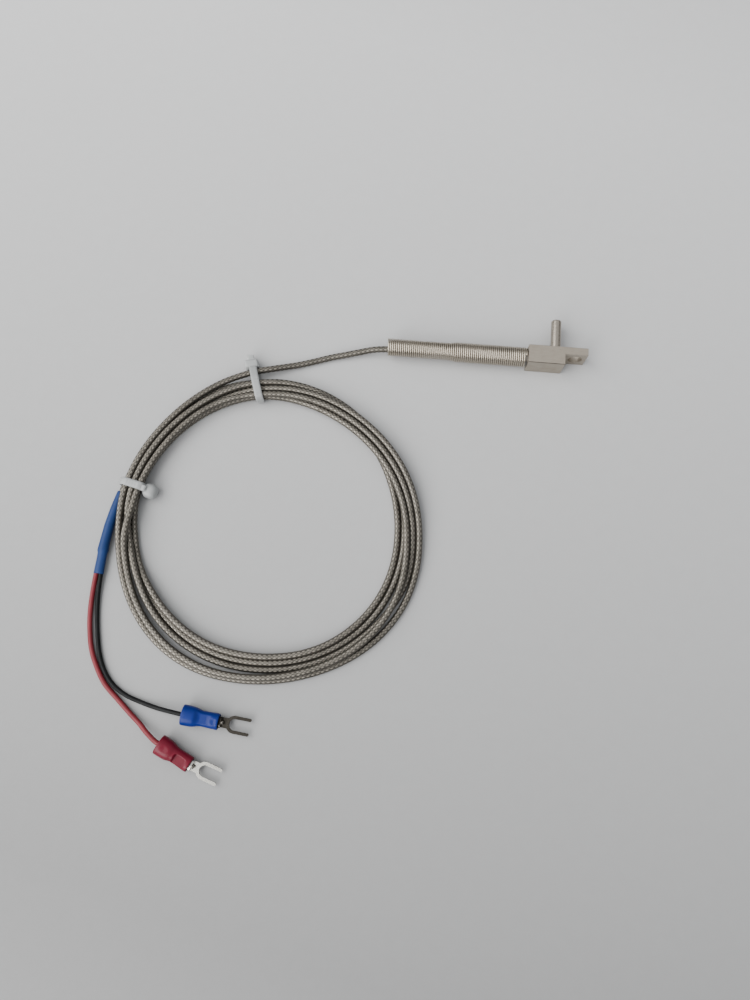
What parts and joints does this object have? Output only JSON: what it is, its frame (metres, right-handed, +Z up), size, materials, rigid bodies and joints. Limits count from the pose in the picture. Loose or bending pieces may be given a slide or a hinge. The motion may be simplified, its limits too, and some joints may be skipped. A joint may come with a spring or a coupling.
{
  "type": "thermocouple",
  "caption": "Clamp-block thermocouple: sensor pin on a screwed block, spring strain relief, tied coil of braided lead, insulated fork terminals.",
  "frame": {"origin": "middle of the screw hole where it opens on the block's seat face", "axes": "+X along the spring and block towards the lug, +Y along the sensor pin out of the seat face, +Z up from the surface the part lies on, which is 3.75 mm below the origin"},
  "size_m": [0.1458, 0.1497, 0.0075],
  "materials": {
    "satin_block": "satin",
    "sheath_steel": "satin",
    "spring_steel": "gloss",
    "braid": "satin",
    "insulator": "matte",
    "cement": "matte",
    "junction_bead": "matte",
    "wire_positive": "satin",
    "wire_negative": "satin",
    "glass_fibre": "matte",
    "ferrule_brass": "satin",
    "white_nylon": "satin",
    "blue_sleeve": "satin",
    "red_insulation": "satin",
    "black_insulation": "satin",
    "tinned_terminal": "satin",
    "red_vinyl": "gloss",
    "blue_vinyl": "gloss",
    "bare_strands": "satin"
  },
  "bodies": {
    "root": {"mounting_block": "satin_block", "sensor_sheath": "sheath_steel", "ceramic_insulator": "insulator", "hot_junction": "junction_bead", "tip_cement": "cement", "block_potting": "cement", "thermoelement_positive": "wire_positive", "thermoelement_negative": "wire_negative", "core_positive": "glass_fibre", "core_negative": "glass_fibre", "stem_tube": "sheath_steel", "cable_ferrule": "ferrule_brass", "armour_spring": "spring_steel", "cable_in_spring": "braid", "cable_run": "braid", "cable_coil": "braid", "cable_end": "braid", "cable_tie_top": "white_nylon", "cable_tie_left": "white_nylon", "heat_shrink": "blue_sleeve", "lead_red": "red_insulation", "lead_black": "black_insulation", "fork_red": "tinned_terminal", "sleeve_red": "red_vinyl", "conductor_red": "bare_strands", "fork_blue": "tinned_terminal", "sleeve_blue": "blue_vinyl", "conductor_blue": "bare_strands"}
  },
  "joints": []
}
